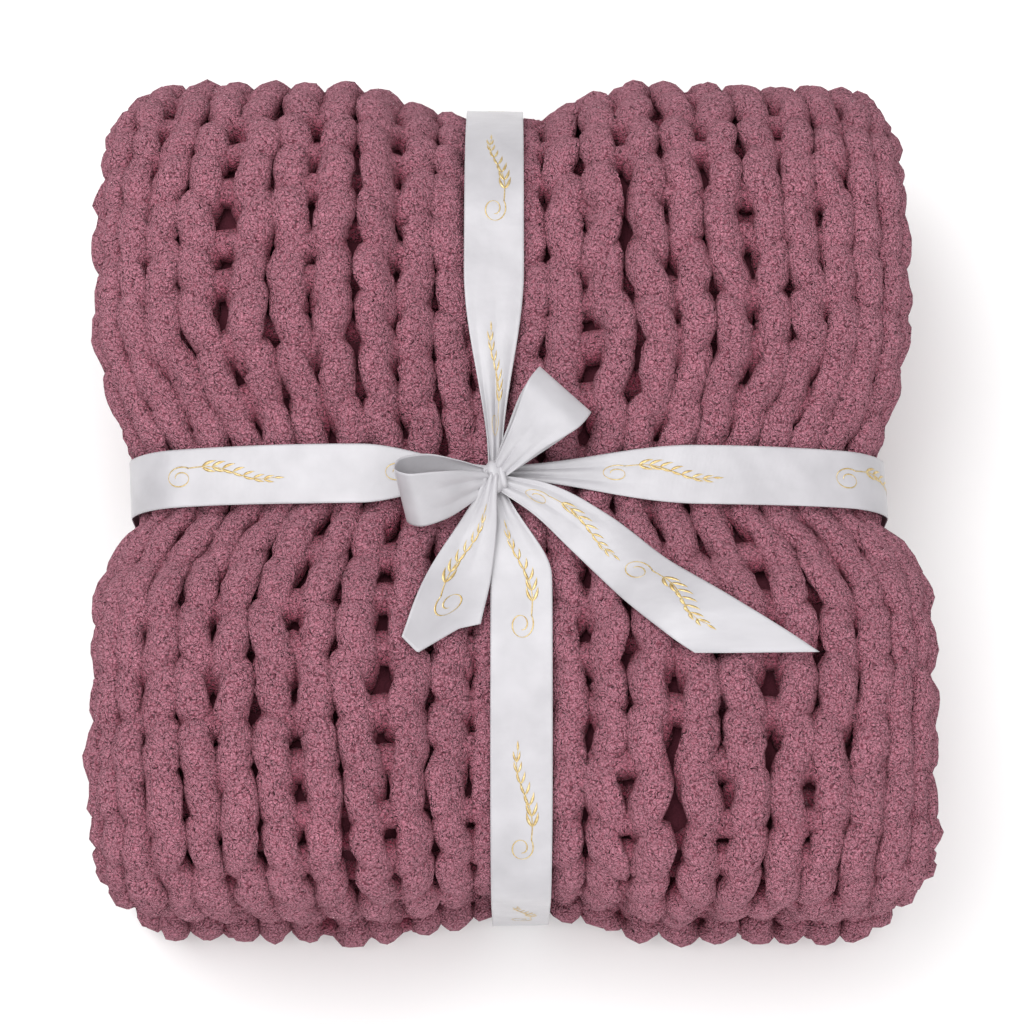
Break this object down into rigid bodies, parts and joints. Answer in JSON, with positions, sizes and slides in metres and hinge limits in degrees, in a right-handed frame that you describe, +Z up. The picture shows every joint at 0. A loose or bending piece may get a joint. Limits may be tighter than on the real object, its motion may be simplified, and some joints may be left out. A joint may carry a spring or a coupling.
{
  "type": "folded chunky knit throw blanket tied with ribbon",
  "caption": "Thick chenille knit throw folded into a plump square bundle and tied crosswise with a satin ribbon and bow.",
  "frame": {"origin": "middle of the footprint, on the surface that the bundle lies on", "axes": "+Z up; the ropes of stitches run along Y; +Y towards the wide fold, -Y towards the free ends; +X to the right when seen from the free ends"},
  "size_m": [0.4208, 0.4476, 0.2081],
  "materials": {
    "chenille_yarn": "deep soft chenille pile, matte with a faint sheen at the rims",
    "satin_ribbon": "smooth white satin weave, soft gloss"
  },
  "bodies": {
    "root": {"blanket": "chenille_yarn", "crosswise_band": "satin_ribbon", "lengthwise_band": "satin_ribbon", "bow_knot": "satin_ribbon", "bow_left_loop": "satin_ribbon", "bow_right_loop": "satin_ribbon", "bow_left_tail": "satin_ribbon", "bow_right_tail": "satin_ribbon"}
  },
  "joints": []
}
